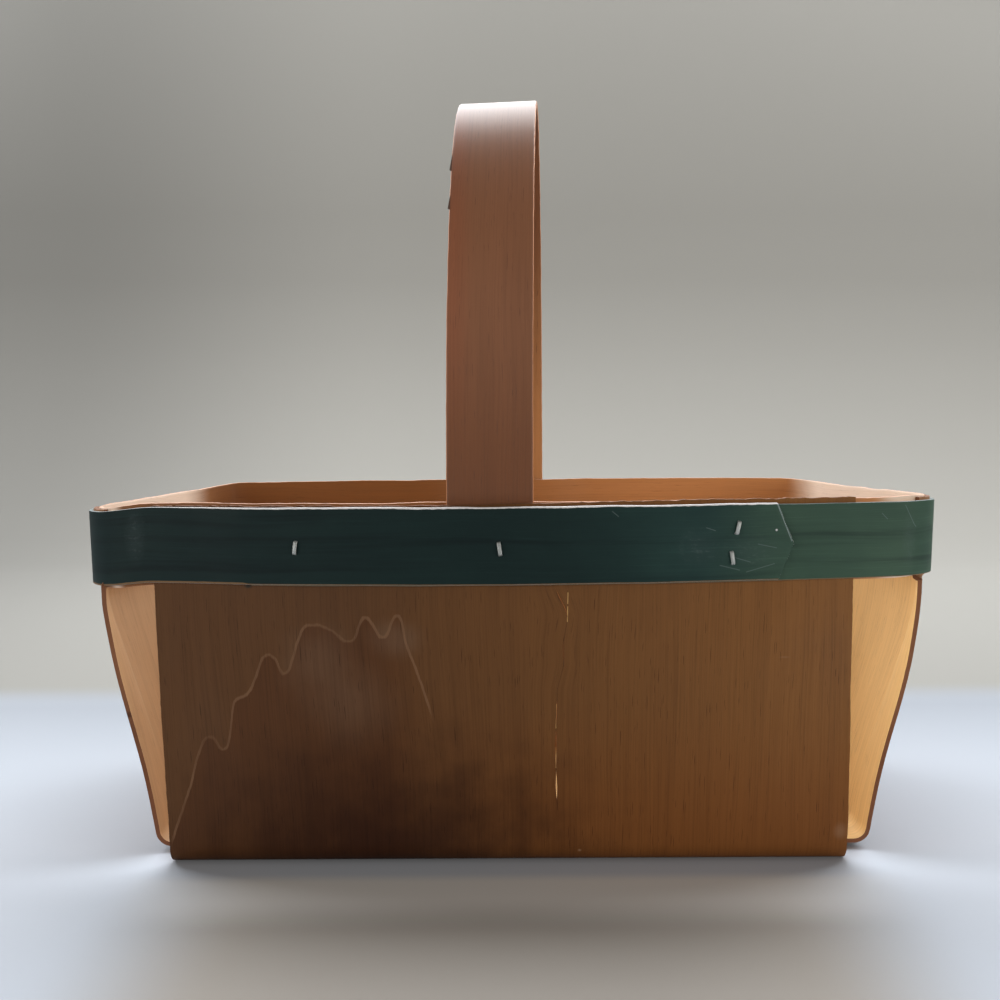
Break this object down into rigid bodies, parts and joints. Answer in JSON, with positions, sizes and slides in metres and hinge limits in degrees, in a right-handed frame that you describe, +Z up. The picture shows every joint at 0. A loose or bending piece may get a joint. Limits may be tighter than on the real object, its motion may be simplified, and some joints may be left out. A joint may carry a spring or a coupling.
{
  "type": "berry basket",
  "caption": "Splint-wood basket for berries: two folded veneer strips cross at the floor, stapled between a dyed outer band and a plain inner band, with a bent strip handle over the middle.",
  "frame": {"origin": "centre of the basket's box, on the surface it stands on", "axes": "+Z up, +X along the rim's length to the right, the side with the outer band's lap facing -Y"},
  "size_m": [0.3046, 0.1752, 0.2761],
  "materials": {
    "side_web": "dark brown bare veneer, weathered",
    "end_web": "light brown bare veneer",
    "outer_band": "veneer dyed dark green, worn pale at its edges",
    "inner_band": "light brown bare veneer",
    "handle": "reddish brown bare wood, slightly shiny from handling",
    "staple_wire": "dull flat steel wire"
  },
  "bodies": {
    "root": {"side_web": "side_web", "end_web": "end_web", "outer_band": "outer_band", "inner_band": "inner_band", "handle": "handle", "staple_front_left": "staple_wire", "staple_lap_upper": "staple_wire", "staple_lap_lower": "staple_wire", "staple_front_handle": "staple_wire", "staple_right_front": "staple_wire", "staple_right_back": "staple_wire", "staple_back_right": "staple_wire", "staple_back_left": "staple_wire", "staple_back_handle": "staple_wire", "staple_left_back": "staple_wire", "staple_left_front": "staple_wire"}
  },
  "joints": []
}
